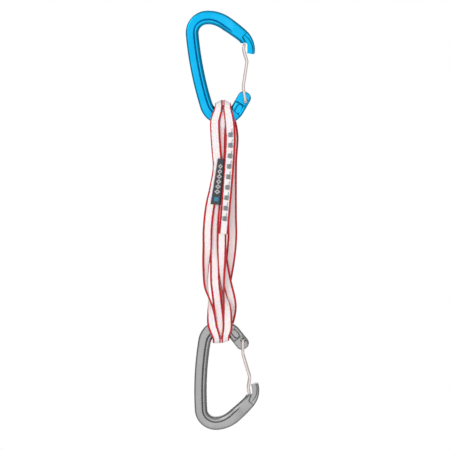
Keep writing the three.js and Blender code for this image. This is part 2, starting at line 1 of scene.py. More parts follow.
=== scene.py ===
"""A climbing quickdraw: two forged wire-gate carabiners and a tripled, sewn sling.

Metres, +Z up. X runs from the spines to the gates and the front is -Y. The origin is the
inner apex of the upper carabiner's basket, where the quickdraw hangs.
"""
import json
import math
from bisect import bisect_right

import bmesh
import bpy
from mathutils import Matrix, Vector


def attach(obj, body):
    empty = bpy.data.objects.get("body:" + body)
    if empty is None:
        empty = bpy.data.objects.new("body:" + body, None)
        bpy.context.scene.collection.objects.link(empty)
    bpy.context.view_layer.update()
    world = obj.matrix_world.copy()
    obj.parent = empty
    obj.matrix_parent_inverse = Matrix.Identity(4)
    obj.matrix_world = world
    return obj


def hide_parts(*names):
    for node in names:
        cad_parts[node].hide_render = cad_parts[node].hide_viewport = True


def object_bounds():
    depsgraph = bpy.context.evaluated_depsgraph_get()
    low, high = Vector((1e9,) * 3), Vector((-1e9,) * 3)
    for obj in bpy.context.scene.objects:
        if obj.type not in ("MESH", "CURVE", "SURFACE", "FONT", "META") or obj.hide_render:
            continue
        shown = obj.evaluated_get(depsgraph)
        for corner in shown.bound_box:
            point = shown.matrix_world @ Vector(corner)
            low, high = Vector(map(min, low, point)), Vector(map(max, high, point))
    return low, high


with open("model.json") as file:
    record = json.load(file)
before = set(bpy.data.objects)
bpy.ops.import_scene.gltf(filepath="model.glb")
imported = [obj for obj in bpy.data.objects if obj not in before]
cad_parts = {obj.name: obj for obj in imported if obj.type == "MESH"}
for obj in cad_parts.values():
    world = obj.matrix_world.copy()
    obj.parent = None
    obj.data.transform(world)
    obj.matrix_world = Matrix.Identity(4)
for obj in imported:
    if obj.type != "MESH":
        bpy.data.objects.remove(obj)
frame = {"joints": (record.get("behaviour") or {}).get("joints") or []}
CAD_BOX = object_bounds()
MM = 0.001

# ---- Carabiner, in millimetres: its outer edge is a chain of arcs from the basket's apex ----
TO_NOSE = [(30, 34), (122, 8), (20.7, 58)]  # crown, top bar and nose: radius, degrees turned
CROWN_TO_SPINE = 3  # degrees the crown turns on the spine's side
SHOULDER = (17.5, 92)  # radius, degrees turned
SPINE_RADIUS = 273
SPINE_LENGTH = 59
NARROW_RADIUS = 19  # the end that holds the sling
ARM_LEAN = 30  # degrees between the gate arm and the vertical
ARM_LENGTH = 15.5

# Depths of the bar in the carabiner's plane
ARM_DEPTH = 11
NARROW_DEPTH = 11.4
SPINE_DEPTH = 10.4
SPINE_DEPTH_FROM = 8  # past the narrow end
BASKET_DEPTH = 10.9
TOP_BAR_DEPTH = 11.4
CHIN_DEPTH = 10.1
CHIN_DEPTH_FROM = 2  # before the chin

# Forged section: half thicknesses, then widths and roundings
RIM_HALF = 3.3
WEB_HALF = 2  # at the groove's floor
FLANGE_HALF = 3.75
PLAIN_HALF = 3.5  # where the groove has run out
SEAT_HALF = 2.4  # thinned ends, which the gate's legs straddle
BAND_FALL = 0.35  # the outer band slopes down towards the groove
FLANGE_WIDTH = 3.4
FLANGE_TAPER = 0.9  # how much narrower it is where the groove runs out
FLANGE_CROWN = 0.15  # how far it falls to the groove
GROOVE_WIDTH = 0.15  # of its floor
GROOVE_DRAFT = 0.45  # how far its walls slope
EDGE_ROUND = 1.3  # outer rim
ROPE_ROUND = 2.3  # rope-bearing flange
SEAT_ROUND = 1  # seats' inner edge
ARM_END_ROUND = 4.6
NOSE_END_ROUND = 1.6
END_THINNING = 0.25  # share of its thickness that a rounded end loses
BROKEN_EDGE = 0.22
MACHINED_ANGLE = 50  # degrees between the faces of an edge that is broken
BAR_STEP = 0.7  # length of a facet along the bar
ROUNDING = 2  # times that the section's corners are cut

# Along the bar: the gate's seat, the pocket beside the arm, and the long groove
SEAT_LENGTH = 10
STEP_LENGTH = 0.8  # slope of the step down to the arm's seat
CHIN_STEP = (0.5, 0.1)  # before the chin, where the step to the nose's seat starts and ends
ARM_RIM_WIDTH = 1.4  # rim beside the gate's legs
POCKET_LENGTH = 9
POCKET_RIM = 2.6  # outer band and flange beside the pocket
POCKET_FLANGE = 3.7
POCKET_SLOPE_FROM = 0.86  # share of its half length where its floor starts to rise
POCKET_GAP = 4  # between the pocket and the long groove
GROOVE_START_FADE = 4.2
GROOVE_FADE = (1, 10)  # past the crown's end, where the groove's end starts and stops rising

# Nose and gate hole
FINGER_DEPTH = 6.2  # nose finger, outside the gate
FINGER_LENGTH = 11.5
NOTCH_RADIUS = 2.1  # hook for the gate's crossbar
NOTCH_INSET = 1.5  # of its centre, from the finger's inner side
CROSSBAR_REST = (-0.5, 0.3)  # where the shut crossbar lies in its notch
SWEEP_TURN = 18  # degrees the crossbar turns before it is clear of the nose
PIVOT_FROM_END = 6.8  # gate pivot, along the arm
PIVOT_DEPTH = 3.4
HOLE_SIDES = 48
# The nose's recess: distance past the chin, and depths of its outer and inner sides
NOSE_RECESS = [
    (-8.6, 4.9, 5.1),
    (-8.3, 4.1, 5.7),
    (-7.8, 3.6, 6.2),
    (-6.5, 3.2, 6.5),
    (-2.6, 2.65, 6.8),
    (2.9, 1.9, 7),
    (8, 1.6, 7),
]
RECESS_DRAFT = 0.8
COUNTERSINK = (2.1, 0.5)  # radius and depth, round the gate's hole
CUTTER_HALF = 1.5 * FLANGE_HALF  # cutters reach well past both faces

# ---- Gate ----
WIRE_DIAMETER = 2.4
GATE_CLEARANCE = 0.3
PIN_GAP = 0.8  # between the wire's two ends, inside the arm
WIRE_BEND = 3  # bending radius
WIRE_BEND_STEPS = 10
# The legs: share of the way from pivot to crossbar, and offset out of the window
LEG_KINKS = [(0.17, -1), (0.26, -1.5), (0.71, 2), (0.78, 1.1), (0.92, -0.7)]

# ---- Sling ----
LOWER_TILT = 8.2  # degrees, as the lower carabiner hangs
WEBBING_WIDTH = 8
WEBBING_THICKNESS = 1.8
WEBBING_MIDDLE = 0.82  # share of its thickness between the selvedges
LAYER_GAP = 0.4  # between layers of webbing
BIGHT_CLEARANCE = 0.45
BIGHT_GATHER = 0.8  # share of its width the webbing keeps where it gathers on a bar
BIGHT_DROOP = 1.3  # how far a side bight's outer edge droops over the bar
BIGHT_MEETING = 0.35  # and how far its inner edge spreads towards the other's
BIGHT_ANGLES = (15, 50, 90, 130, 165)  # degrees round the bar
END_SHARE = 0.2  # share of each strand that passes a bar
END_BELOW_BAR = 20.3  # and how far that share reaches past the bar's outer edge
SELVEDGE_UNDER = 0.28  # share of the upper left selvedges' width that is turned under
UNDER_FADE = 40  # and the length over which this comes in, above half way
RIBBON_STEP = 0.9
RIBBON_AROUND = 24
SAMPLES_PER_SPAN = 40  # of the ribbon's route

# Splice: bar tacks and the label, from the free end of the splice's upper layer
TACK_COUNT = 9
TACK_PITCH = 8.4
FIRST_TACK = 12.4
TACK_WIDTH = 4.3
TACK_HEIGHT = 3.7
TACK_THREADS = 10
THREAD_SIZE = 0.36
THREAD_FLATNESS = 0.75  # of a thread's section, along the webbing
THREAD_SINK = 0.1  # how far the threads sink into the webbing
THREAD_LIFT = 0.4  # and the share of their size that their middle stands over it
THREAD_UNEVEN = (0.22, 0.1)  # how far threads stray sideways, and the share of their length
RUN_ON_PLACE = 1.1  # of the thread to the next tack, right of the middle
RUN_ON_SLANT = 80
LABEL_START = 23
LABEL_LENGTH = 37
LABEL_WIDE = 8.3
LABEL_NARROW = 5.5
LABEL_HALF = 0.28  # half its thickness
LABEL_BOW = 0.35
LABEL_SETBACK = 0.6  # behind the middle of the webbing that holds it
LABEL_GAP = 0.05  # beside that webbing's edge


def lerp(low, high, share):
    return low + (high - low) * share


def straight(value, low, high):
    return min(max((value - low) / (high - low), 0), 1)


def smooth(value, low, high):
    share = straight(value, low, high)
    return share * share * (3 - 2 * share)


def between(distance, table, step=smooth):
    """A step from one row of the table to the next."""
    if distance <= table[0][0]:
        return table[0][1]
    for (a, low), (b, high) in zip(table, table[1:]):
        if distance <= b:
            return lerp(low, high, step(distance, a, b))
    return table[-1][1]


def to_right(heading):
    return Vector((math.sin(heading), -math.cos(heading)))


# ---------------------------------------------------------------- materials


def rgb(hex_value):
    """Linear colour from sRGB hex."""
    parts = [int(hex_value[i : i + 2], 16) / 255 for i in (1, 3, 5)]
    return [c / 12.92 if c <= 0.04045 else ((c + 0.055) / 1.055) ** 2.4 for c in parts] + [1]


def add_node(tree, kind, inputs, output=0, **settings):
    """Adds a node with its settings and inputs, each a number, a colour or another node's
    output, and returns its own output."""
    node = tree.nodes.new("ShaderNode" + kind)
    for name, value in settings.items():
        setattr(node, name, value)
    for name, source in inputs.items():
        if isinstance(source, bpy.types.NodeSocket):
            tree.links.new(source, node.inputs[name])
        else:
            node.inputs[name].default_value = source
    return node.outputs[output]


def finish_with(name, varied, **constants):
    """A material whose constants are set on its Principled shader; `varied(tree)` makes the
    nodes for what varies over the surface."""
    material = bpy.data.materials.new(name)
    material.use_nodes = True
    tree = material.node_tree
    shader = tree.nodes["Principled BSDF"]
    for key, value in constants.items():
        shader.inputs[key.replace("_", " ")].default_value = value
    for socket, source in varied(tree).items():
        tree.links.new(source, shader.inputs[socket])
    return material


MIXED = {"output": 2, "data_type": "RGBA"}  # a Mix node of colours: factor 0, colours 6 and 7


def anodised_aluminium(colour, worn, roughness):
    """Hot-forged 7075 aluminium, tumbled and anodised: an even satin colour over a fine, soft
    dimpling, a little paler where handling has polished it."""

    def varied(tree):
        place = add_node(tree, "TexCoord", {}, "Object")
        # Tumbling leaves dimples of about 0.5 mm; handling varies over about 12 mm
        fine = add_node(tree, "TexNoise", {"Vector": place, "Scale": 2000, "Detail": 2})
        broad = add_node(tree, "TexNoise", {"Vector": place, "Scale": 85, "Detail": 3})
        patchy = add_node(
            tree, "MapRange", {"Value": broad, "From Min": 0.4, "From Max": 0.72, "To Max": 0.35}
        )
        satin = {"Value": fine, "To Min": roughness - 0.05, "To Max": roughness + 0.07}
        dimples = {"Height": fine, "Distance": 0.02 * MM, "Strength": 0.35}
        return {
            "Base Color": add_node(tree, "Mix", {0: patchy, 6: rgb(colour), 7: rgb(worn)}, **MIXED),
            "Roughness": add_node(tree, "MapRange", satin),
            "Normal": add_node(tree, "Bump", dimples),
        }

    return varied


def drawn_wire(tree):
    """Drawn stainless spring wire, tumbled: pale, slightly warm, with faint drawing lines."""
    place = add_node(tree, "TexCoord", {}, "Object")
    along_wire = add_node(tree, "Mapping", {"Vector": place, "Scale": (1, 1, 0.06)})
    # Lines of about 0.3 mm
    lines = add_node(tree, "TexNoise", {"Vector": along_wire, "Scale": 3000, "Detail": 2})
    pale, warm = rgb("#e6dad8"), rgb("#d2c5c3")
    return {
        "Base Color": add_node(tree, "Mix", {0: lines, 6: pale, 7: warm}, **MIXED),
        "Roughness": add_node(tree, "MapRange", {"Value": lines, "To Min": 0.42, "To Max": 0.56}),
        "Normal": add_node(tree, "Bump", {"Height": lines, "Distance": 0.01 * MM, "Strength": 0.3}),
    }


def selvedged_weave(tree):
    """Woven polyethylene sling: pinkish white warp with red selvedges, both painted darker in the weave's
    hollows and paler on its crowns, which is painted shade.
    The picks are drawn 0.9 mm apart, about twice their real pitch, so that they show, and the
    yarns are 0.6 mm wide. The UV map is in metres: U along and V across, from the middle."""
    uv = add_node(tree, "UVMap", {})
    along = add_node(tree, "SeparateXYZ", {0: uv}, "X")
    across = add_node(tree, "SeparateXYZ", {0: uv}, "Y")
    pick_turn = add_node(tree, "Math", {0: along, 1: math.pi / (0.9 * MM)}, operation="MULTIPLY")
    yarn_count = add_node(tree, "Math", {0: across, 1: 0.6 * MM}, operation="DIVIDE")
    # Each yarn's picks lie half a step on from its neighbour's
    yarn = add_node(tree, "Math", {0: yarn_count}, operation="FLOOR")
    shift = add_node(
        tree, "Math", {0: yarn, 1: math.pi / 2, 2: pick_turn}, operation="MULTIPLY_ADD"
    )
    pick_wave = add_node(tree, "Math", {0: shift}, operation="SINE")
    pick = add_node(tree, "Math", {0: pick_wave}, operation="ABSOLUTE")
    yarn_turn = add_node(tree, "Math", {0: yarn_count, 1: math.pi}, operation="MULTIPLY")
    yarn_wave = add_node(tree, "Math", {0: yarn_turn}, operation="SINE")
    yarn_side = add_node(tree, "Math", {0: yarn_wave}, operation="ABSOLUTE")
    yarn_round = add_node(tree, "Math", {0: yarn_side}, operation="SQRT")
    weave = add_node(tree, "Math", {0: pick, 1: yarn_round}, operation="MULTIPLY")
    # The selvedge is 1.6 mm wide, and its red threads are ragged along its inner side
    place = add_node(tree, "TexCoord", {}, "Object")
    uneven = add_node(tree, "TexNoise", {"Vector": place, "Scale": 700, "Detail": 1})
    from_middle = add_node(tree, "Math", {0: across}, operation="ABSOLUTE")
    ragged = add_node(
        tree, "Math", {0: uneven, 1: 0.5 * MM, 2: from_middle}, operation="MULTIPLY_ADD"
    )
    red_from = {"Value": ragged, "From Min": 2.45 * MM, "From Max": 2.75 * MM}
    selvedge = add_node(tree, "MapRange", red_from)
    # Each colour is darker in the weave's hollows and paler on its crowns: painted shade in the hollows.
    white = {0: weave, 6: rgb("#f2e4e5"), 7: rgb("#fffbfb")}
    red = {0: weave, 6: rgb("#940613"), 7: rgb("#da1528")}
    body = add_node(tree, "Mix", white, **MIXED)
    edge = add_node(tree, "Mix", red, **MIXED)
    return {
        "Base Color": add_node(tree, "Mix", {0: selvedge, 6: body, 7: edge}, **MIXED),
        "Normal": add_node(tree, "Bump", {"Height": weave, "Distance": 0.16 * MM, "Strength": 0.6}),
    }


def plied_thread(tree):
    """Grey bonded polyester thread: matt, with the twist of its plies about 1.4 mm apart."""
    place = add_node(tree, "TexCoord", {}, "Object")
    twist = add_node(tree, "TexWave", {"Vector": place, "Scale": 700, "Distortion": 3}, "Fac")
    # The grey is darker in the twist's grooves and lighter on its ridges: painted shade.
    dark, light = rgb("#66696d"), rgb("#9da1a4")
    return {
        "Base Color": add_node(tree, "Mix", {0: twist, 6: dark, 7: light}, **MIXED),
        "Normal": add_node(tree, "Bump", {"Height": twist, "Distance": 0.05 * MM, "Strength": 0.5}),
    }


def damask_label(tree):
    """Damask-woven polyester label: charcoal ground with a chain of pale diamonds along it and a teal
    block near its lower end, with painted shade, near black, along its side by the webbing's edge, where
    it turns under. U runs up the label and V leftwards."""
    uv = add_node(tree, "UVMap", {})
    along = add_node(tree, "SeparateXYZ", {0: uv}, "X")
    across = add_node(tree, "SeparateXYZ", {0: uv}, "Y")
    # Six outlined diamonds in a chain, as wide as they are high
    count = add_node(tree, "Math", {0: along, 1: 9}, operation="MULTIPLY")
    cycle = add_node(tree, "Math", {0: count}, operation="FRACT")
    # Compare gives 1 where a value lies within the third input of the second
    on_chain = add_node(tree, "Math", {0: along, 1: 0.5555, 2: 0.333}, operation="COMPARE")
    cycle_off = add_node(tree, "Math", {0: cycle, 1: 0.5}, operation="SUBTRACT")
    up = add_node(tree, "Math", {0: cycle_off}, operation="ABSOLUTE")
    middle_off = add_node(tree, "Math", {0: across, 1: 0.5}, operation="SUBTRACT")
    side = add_node(tree, "Math", {0: middle_off}, operation="ABSOLUTE")
    spread = add_node(tree, "Math", {0: side, 1: 1.56, 2: up}, operation="MULTIPLY_ADD")
    outline = add_node(tree, "Math", {0: spread, 1: 0.345, 2: 0.135}, operation="COMPARE")
    pale = add_node(tree, "Math", {0: on_chain, 1: outline}, operation="MULTIPLY")
    block_up = add_node(tree, "Math", {0: along, 1: 0.115, 2: 0.045}, operation="COMPARE")
    block_across = add_node(tree, "Math", {0: across, 1: 0.5, 2: 0.22}, operation="COMPARE")
    block = add_node(tree, "Math", {0: block_up, 1: block_across}, operation="MULTIPLY")
    # Near black along the side by the webbing's edge: painted shade where the label turns under the
    # webbing.
    painted_shade_by_webbing = add_node(tree, "Math", {0: across, 1: 0.14}, operation="LESS_THAN")
    place = add_node(tree, "TexCoord", {}, "Object")
    # Damask threads of 0.25 mm
    weave = add_node(tree, "TexNoise", {"Vector": place, "Scale": 4000, "Detail": 1})
    ground = add_node(tree, "Mix", {0: weave, 6: rgb("#26282c"), 7: rgb("#4a4d52")}, **MIXED)
    folded = add_node(tree, "Mix", {0: painted_shade_by_webbing, 6: ground, 7: rgb("#0c0d0f")}, **MIXED)
    figured = add_node(tree, "Mix", {0: pale, 6: folded, 7: rgb("#b9b5b6")}, **MIXED)
    return {
        "Base Color": add_node(tree, "Mix", {0: block, 6: figured, 7: rgb("#2f7f99")}, **MIXED),
        "Normal": add_node(tree, "Bump", {"Height": weave, "Distance": 0.06 * MM, "Strength": 0.6}),
    }


BLUE = finish_with(
    "satin_blue_anodised_aluminium", anodised_aluminium("#0e93c0", "#31a6d0", 0.31), Metallic=1
)
GREY = finish_with(
    "satin_grey_anodised_aluminium", anodised_aluminium("#8b8b8b", "#989898", 0.33), Metallic=1
)
# Tumbling dulls the wire, which then looks less mirror-like than bare metal
WIRE_STEEL = finish_with("drawn_stainless_wire", drawn_wire, Metallic=0.55)
# The fibres are translucent, so light softens the webbing's folds
WEBBING = finish_with(
    "white_webbing_with_red_selvedges",
    selvedged_weave,
    Roughness=0.82,
    Sheen_Weight=0.25,
    Sheen_Roughness=0.5,
    Subsurface_Weight=0.4,
    Subsurface_Scale=1.5 * MM,
)
THREAD = finish_with("grey_bonded_thread", plied_thread, Roughness=0.7, Sheen_Weight=0.2)
LABEL = finish_with("charcoal_damask_label", damask_label, Roughness=0.75, Sheen_Weight=0.15)

# ---------------------------------------------------------------- general shapes


def piece(bm, name, material, sharp_degrees=35):
    """A finished piece from a bmesh, shaded smooth with its sharp edges kept."""
    bmesh.ops.recalc_face_normals(bm, faces=bm.faces)
    mesh = bpy.data.meshes.new(name)
    bm.to_mesh(mesh)
    bm.free()
    mesh.shade_smooth()
    mesh.set_sharp_from_angle(angle=math.radians(sharp_degrees))
    mesh.materials.append(material)
    made = bpy.data.objects.new(name, mesh)
    bpy.context.scene.collection.objects.link(made)
    return made


def skin(rows, around, place, uv=None):
    """A closed skin: a grid of `rows` by `around` faces bent onto a surface. `place(row, share)`
    gives the point in millimetres and `uv(row, share)` the map, with share running once round."""
    bm = bmesh.new()
    layer = bm.loops.layers.uv.new("UVMap")
    bmesh.ops.create_grid(bm, x_segments=rows, y_segments=around, size=1, calc_uvs=True)
    spots = {}
    for vert in bm.verts:
        row = round((vert.co.x + 1) / 2 * rows)
        share = round((vert.co.y + 1) / 2 * around) / around
        spots[vert] = (row, share)
    if uv:
        for face in bm.faces:
            for loop in face.loops:
                loop[layer].uv = uv(*spots[loop.vert])
    for vert, (row, share) in spots.items():
        vert.co = place(row, share % 1) * MM
    bmesh.ops.remove_doubles(bm, verts=bm.verts, dist=1e-6)
    ends = [edge for edge in bm.edges if edge.is_boundary]
    if ends:
        bmesh.ops.holes_fill(bm, edges=ends)
    return bm


def moved(bm, matrix):
    bmesh.ops.transform(bm, matrix=matrix, verts=bm.verts)
    return bm


def rounded(points, times):
    """Chaikin's corner cutting on a closed outline."""
    for _ in range(times):
        pairs = list(zip(points, points[1:] + points[:1]))
        points = [q for a, b in pairs for q in (a.lerp(b, 0.25), a.lerp(b, 0.75))]
    return points


# ---------------------------------------------------------------- the bar's outer edge


def chain(parts, heading, side):
    """Arcs that follow on from each other from the basket's apex."""
    point = Vector((0, BASKET_DEPTH))
    arcs = []
    for radius, turn in parts:
        centre = point - to_right(heading) * side * radius
        arcs.append((centre, heading, radius, turn))
        heading += side * turn
        point = centre + to_right(heading) * side * radius
    return arcs


def outer_edge():
    spine_turn = SPINE_LENGTH / SPINE_RADIUS
    turned = math.radians(CROWN_TO_SPINE + SHOULDER[1])
    # From the apex to the arm the edge turns three quarters of a circle, less the arm's lean
    narrow_turn = math.radians(270 - ARM_LEAN) - turned - spine_turn
    to_arm = [
        (TO_NOSE[0][0], math.radians(CROWN_TO_SPINE)),
        (SHOULDER[0], math.radians(SHOULDER[1])),
        (SPINE_RADIUS, spine_turn),
        (NARROW_RADIUS, narrow_turn),
    ]
    to_nose = [(radius, math.radians(turn)) for radius, turn in TO_NOSE]
    return chain(to_arm, math.pi, 1), chain(to_nose, 0, -1)


LEFT, RIGHT = outer_edge()
LEFT_LENGTHS = [radius * turn for _, _, radius, turn in LEFT]
RIGHT_LENGTHS = [radius * turn for _, _, radius, turn in RIGHT]
NARROW_CENTRE = LEFT[3][0]
NARROW_START = ARM_LENGTH
NARROW_END = NARROW_START + LEFT_LENGTHS[3]
SPINE_END = NARROW_END + LEFT_LENGTHS[2]
APEX = ARM_LENGTH + sum(LEFT_LENGTHS)
CROWN_END = APEX + RIGHT_LENGTHS[0]
EDGE_LENGTH = APEX + sum(RIGHT_LENGTHS)
CHIN = EDGE_LENGTH - FINGER_LENGTH
POCKET_START = SEAT_LENGTH + STEP_LENGTH
POCKET_END = POCKET_START + POCKET_LENGTH
LONG_GROOVE_START = POCKET_END + POCKET_GAP


def edge_at(distance):
    """The edge's point at a distance from the arm's end, and the normal into the bar."""
    on_right = distance >= APEX
    side = -1 if on_right else 1
    arcs = RIGHT if on_right else LEFT
    rest = abs(distance - APEX)
    for i, (centre, start, radius, turn) in enumerate(arcs):
        if rest <= radius * turn or i + 1 == len(arcs):
            break
        rest -= radius * turn
    past = max(rest - radius * turn, 0)
    heading = start + side * (rest - past) / radius
    point = centre + to_right(heading) * side * radius
    onward = Vector((math.cos(heading), math.sin(heading))) * past
    return point + onward, to_right(heading) * -side


def in_bar(distance, depth):
    point, inward = edge_at(distance)
    return point + inward * depth


def depth_at(distance):
    return between(
        distance,
        [
            (NARROW_START, ARM_DEPTH),
            ((NARROW_START + NARROW_END) / 2, NARROW_DEPTH),
            (NARROW_END + SPINE_DEPTH_FROM, SPINE_DEPTH),
            (SPINE_END, SPINE_DEPTH),
            (APEX, BASKET_DEPTH),
            (CROWN_END, TOP_BAR_DEPTH),
            (CHIN - CHIN_DEPTH_FROM, CHIN_DEPTH),
        ],
    )


def long_groove(distance, depth):
    """The groove along the narrow end, spine, basket and top bar; see trough_at."""
    taper = FLANGE_TAPER * smooth(distance, APEX, CROWN_END + GROOVE_FADE[1])
    inner = depth - FLANGE_WIDTH + taper
    start = smooth(distance, LONG_GROOVE_START, LONG_GROOVE_START + GROOVE_START_FADE)
    end = smooth(distance, CROWN_END + GROOVE_FADE[0], CROWN_END + GROOVE_FADE[1])
    return inner - GROOVE_WIDTH - 2 * GROOVE_DRAFT, inner, WEB_HALF, FLANGE_HALF, start - end


def arm_pocket(distance, depth):
    """The short pocket beside the gate arm, with rounded ends; see trough_at."""
    half_length = POCKET_LENGTH / 2
    share = min(abs(distance - POCKET_START - half_length) / half_length, 1)
    middle = (POCKET_RIM + depth - POCKET_FLANGE) / 2
    # The outline is a superellipse
    half_width = (depth - POCKET_FLANGE - POCKET_RIM) / 2 * math.sqrt(1 - share**4)
    deep = 1 - smooth(share, POCKET_SLOPE_FROM, 1)
    return middle - half_width, middle + half_width, WEB_HALF, FLANGE_HALF, deep


def nose_recess(distance):
    """The recess beside the nose's hook; see trough_at."""
    past = distance - CHIN
    outer = between(past, [(at, low) for at, low, _ in NOSE_RECESS], straight)
    inner = between(past, [(at, high) for at, _, high in NOSE_RECESS], straight)
    return outer, inner, SEAT_HALF, PLAIN_HALF, smooth(past, NOSE_RECESS[0][0], NOSE_RECESS[2][0])


def trough_at(distance, depth):
    """The trough in the bar's face: depths of its outer and inner sides, half thicknesses of
    its floor and of the flange beside it, and how fully it is sunk, from 0 to 1."""
    if distance < LONG_GROOVE_START:
        return arm_pocket(distance, depth)
    if distance < CROWN_END + GROOVE_FADE[1]:
        return long_groove(distance, depth)
    return nose_recess(distance)


def seat_at(distance):
    """1 where the whole bar is thinned for the gate's legs."""
    return between(
        distance,
        [
            (SEAT_LENGTH, 1),
            (SEAT_LENGTH + STEP_LENGTH, 0),
            (CHIN - CHIN_STEP[0], 0),
            (CHIN - CHIN_STEP[1], 1),
        ],
    )


def section_at(distance):
    """The forged section's outline: (depth, half thickness) from outer to inner edge."""
    depth = depth_at(distance)
    outer, inner, floor, beside, deep = trough_at(distance, depth)
    seat = seat_at(distance)
    rim = lerp(lerp(PLAIN_HALF, RIM_HALF, deep), RIM_HALF, seat)
    web = lerp(lerp(PLAIN_HALF, floor, deep), SEAT_HALF, seat)
    flange = lerp(lerp(PLAIN_HALF, beside, deep), SEAT_HALF, seat)
    if distance < NARROW_START:
        outer = lerp(outer, ARM_RIM_WIDTH, seat)
    draft = RECESS_DRAFT if distance > CROWN_END + GROOVE_FADE[1] else GROOVE_DRAFT
    wall = min(draft, 0.45 * (inner - outer))  # the two walls never meet
    corner = lerp(ROPE_ROUND, SEAT_ROUND, seat)
    # The shares of a rounding are set so that cutting the corners makes it round
    return [
        (0, rim - EDGE_ROUND * 1.6),
        (EDGE_ROUND * 0.3, rim - EDGE_ROUND * 0.6),
        (min(EDGE_ROUND, outer * 0.6), rim - 0.1 * deep),
        (outer, rim - BAND_FALL * deep),
        (outer + wall * 0.3, lerp(rim, web, 0.6)),
        (outer + wall, web),
        (inner - wall, web),
        (inner - wall * 0.3, lerp(flange, web, 0.6)),
        (inner, flange - FLANGE_CROWN * deep),
        (lerp(inner, depth - corner, 0.5), flange),
        (depth - corner, flange),
        (depth - corner * 0.3, flange * 0.8),
        (depth, flange * 0.4),
    ]


def end_inset(distance):
    """How far a rounded end has drawn in from both edges of the bar."""
    for past, radius in (
        (ARM_END_ROUND - distance, ARM_END_ROUND),
        (NOSE_END_ROUND - (EDGE_LENGTH - distance), NOSE_END_ROUND),
    ):
        if past > 0:
            return radius - math.sqrt(max(radius**2 - past**2, 0))
    return 0


def bar_ring(distance):
    point, inward = edge_at(distance)
    inset = end_inset(distance)
    squeeze = 1 - 2 * inset / depth_at(distance)
    thin = 1 - END_THINNING * inset / ARM_END_ROUND
    half = section_at(distance)
    outline = [(u, -v) for u, v in half] + [(u, v) for u, v in reversed(half)]
    ring = []
    for u, v in outline:
        at = point + inward * (inset + u * squeeze)
        ring.append(Vector((at.x, v * thin, at.y)))
    return rounded(ring, ROUNDING)


def bar_stations():
    """Distances along the bar, closer at its rounded ends, the seats' steps and the pockets."""
    count = math.ceil(EDGE_LENGTH / BAR_STEP)
    even = [EDGE_LENGTH * i / count for i in range(1, count)]
    arm_end = [ARM_END_ROUND * (1 - math.cos(math.radians(a))) for a in range(6, 90, 6)]
    nose_end = [
        EDGE_LENGTH - NOSE_END_ROUND * (1 - math.cos(math.radians(a))) for a in range(10, 90, 10)
    ]
    arm_step = [SEAT_LENGTH + STEP_LENGTH * i / 5 for i in range(6)]
    pocket_ends = [
        POCKET_START + POCKET_LENGTH * share
        for share in (0.008, 0.02, 0.045, 0.07, 0.93, 0.955, 0.98, 0.992)
    ]
    recess_end = [CHIN + NOSE_RECESS[0][0] + i * 0.1 for i in range(10)]
    chin_step = [CHIN - CHIN_STEP[0] + i * 0.1 for i in range(5)]
    return sorted(even + arm_end + nose_end + arm_step + pocket_ends + recess_end + chin_step)


# ---------------------------------------------------------------- carabiner


def plate(outline, half_thickness):
    """A flat outline in the XZ plane made into a solid cutter, in millimetres."""
    bm = bmesh.new()
    face = bm.faces.new([bm.verts.new((p.x, -half_thickness, p.y)) for p in outline])
    made = bmesh.ops.extrude_face_region(bm, geom=[face])
    side = [v for v in made["geom"] if isinstance(v, bmesh.types.BMVert)]
    bmesh.ops.translate(bm, verts=side, vec=(0, 2 * half_thickness, 0))
    return bm


def round_cutter(centre, turn, radius, end_radius, length):
    """A cylinder or cone whose axis is turned about X from upright, in millimetres."""
    bm = bmesh.new()
    bmesh.ops.create_cone(
        bm,
        cap_ends=True,
        segments=HOLE_SIDES,
        radius1=radius,
        radius2=end_radius,
        depth=length,
        matrix=Matrix.Translation(centre) @ Matrix.Rotation(turn, 4, "X"),
    )
    return bm


def cross_hole(centre, radius):
    """A cutter for a round hole through the bar."""
    return round_cutter((centre.x, 0, centre.y), math.pi / 2, radius, radius, 4 * FLANGE_HALF)


def countersink(side):
    """A cone that opens the pin hole out, from one face of the arm."""
    radius, depth = COUNTERSINK
    centre = (PIVOT.x, side * SEAT_HALF, PIVOT.y)
    return round_cutter(centre, -side * math.pi / 2, radius - depth, radius + depth, 2 * depth)


def gate_slot():
    """Everything between the nose finger and the window, below the chin."""
    past = EDGE_LENGTH + NOSE_END_ROUND
    reach = CHIN_DEPTH + FINGER_DEPTH
    inner = [in_bar(lerp(CHIN, past, i / 12), FINGER_DEPTH) for i in range(13)]
    return plate(inner + [in_bar(past, reach), in_bar(CHIN, reach)], CUTTER_HALF)


NOTCH = in_bar(CHIN + NOTCH_RADIUS, FINGER_DEPTH + NOTCH_INSET)
CROSSBAR = NOTCH + Vector(CROSSBAR_REST)
PIVOT = in_bar(PIVOT_FROM_END, PIVOT_DEPTH)


def crossbar_sweep():
    """The way out of the notch, which the crossbar swings through as the gate opens."""
    arm = CROSSBAR - PIVOT
    room = WIRE_DIAMETER / 2 + GATE_CLEARANCE
    start = math.atan2(arm.y, arm.x)

    def swung(reach, share):
        angle = start + math.radians(SWEEP_TURN) * share
        return PIVOT + Vector((math.cos(angle), math.sin(angle))) * reach

    shares = [i / 12 for i in range(13)]
    far = [swung(arm.length + room, share) for share in shares]
    near = [swung(arm.length - room, share) for share in reversed(shares)]
    return plate(far + near, CUTTER_HALF)


